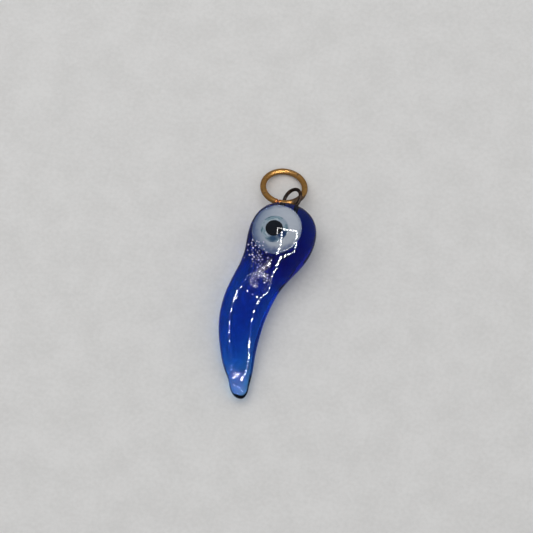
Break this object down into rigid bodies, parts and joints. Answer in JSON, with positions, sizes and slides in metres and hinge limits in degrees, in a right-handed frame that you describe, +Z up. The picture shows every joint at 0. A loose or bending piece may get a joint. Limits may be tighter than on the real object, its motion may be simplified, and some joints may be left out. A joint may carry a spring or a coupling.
{
  "type": "evil eye horn charm",
  "caption": "Curved horn-shaped glass charm with a fused eye on its rounded head, an embedded wire loop and a split jump ring linked through the loop.",
  "frame": {"origin": "middle of the underside of the whole charm's bounding box, on the surface that the charm lies on", "axes": "+Y runs along the charm from the pointed tip to the jump ring, +Z points up out of the face with the eye, +X is to the right when looking down on the eye with the ring at the top"},
  "size_m": [0.0125, 0.0416, 0.009],
  "materials": {
    "cobalt_glass": "fire-polished cobalt blue glass",
    "white_glass": "opaque pale blue-white glass, glossy",
    "iris_glass": "streaky blue glass, glossy",
    "pupil_glass": "opaque black glass, glossy",
    "dark_iron": "fire-oxidised iron wire",
    "copper_gilt": "worn, tarnished copper-gold plate"
  },
  "bodies": {
    "charm": {"glass_horn": "cobalt_glass", "eye_white": "white_glass", "eye_iris": "iris_glass", "eye_pupil": "pupil_glass", "hanger_wire": "dark_iron"},
    "ring": {"jump_ring": "copper_gilt"}
  },
  "joints": [
    {"name": "ring_swing", "type": "hinge", "parent": "charm", "child": "ring", "pos_m": [0.00039, 0.01428, 0.00272], "axis": [0.8481, 0.489, -0.204], "range_deg": [0, 90]}
  ]
}
